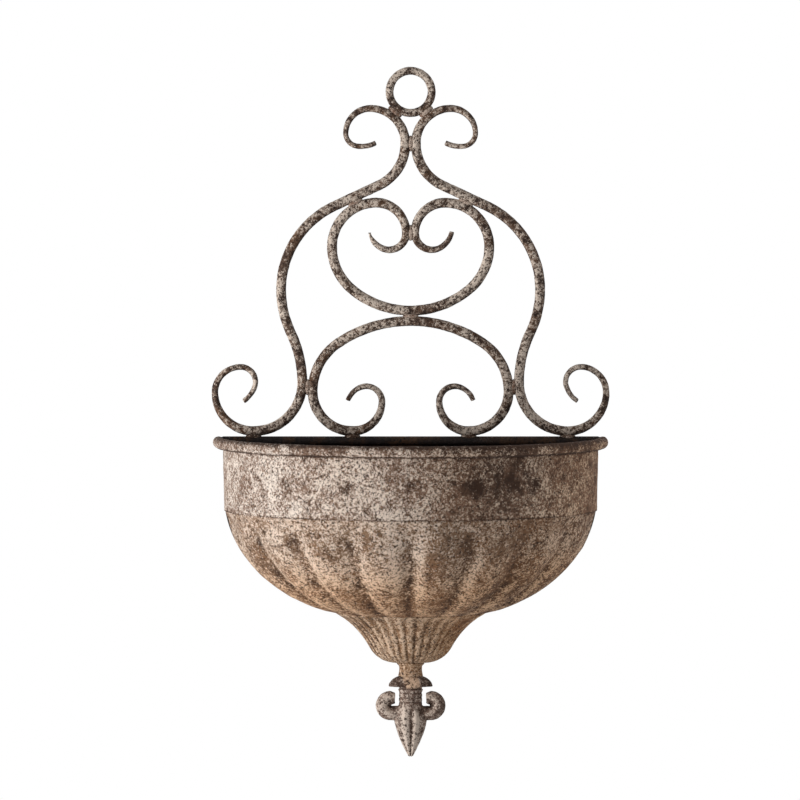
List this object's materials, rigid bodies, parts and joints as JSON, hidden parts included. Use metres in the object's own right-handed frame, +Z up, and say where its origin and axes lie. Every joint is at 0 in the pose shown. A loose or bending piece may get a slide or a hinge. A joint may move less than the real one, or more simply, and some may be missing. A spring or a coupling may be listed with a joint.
{
  "type": "wall planter",
  "caption": "Half-round weathered iron wall planter: a lobed bowl with rolled rim under a frame of forged scrolls, with a hanging ring above and a cast finial below.",
  "frame": {"origin": "centre of the hanging ring's eye, on the wall plane", "axes": "+Z up, +Y into the wall, +X to the right as seen from the front"},
  "size_m": [0.3976, 0.1999, 0.6892],
  "materials": {
    "forged_bar": "weathered, matt, pale speckle over brown",
    "sheet_iron": "weathered, matt, pale speckle over brown",
    "casting": "weathered, matt, warm brown",
    "weld_metal": "weathered, matt",
    "fastener": "dull steel with rust"
  },
  "bodies": {
    "root": {"hanging_ring": "forged_bar", "left_side_scroll": "forged_bar", "right_side_scroll": "forged_bar", "heart_scroll": "forged_bar", "arch_scroll": "forged_bar", "ring_welds": "weld_metal", "waist_weld": "weld_metal", "heart_welds": "weld_metal", "arch_welds": "weld_metal", "foot_welds": "weld_metal", "back_plate": "sheet_iron", "back_rail": "forged_bar", "upper_band": "sheet_iron", "rim_wire": "forged_bar", "gadroon_bowl": "sheet_iron", "fluted_foot": "casting", "neck_collar": "casting", "fleur_finial": "casting", "finial_stud": "fastener", "stud_washer": "fastener", "stud_nut": "fastener"}
  },
  "joints": []
}
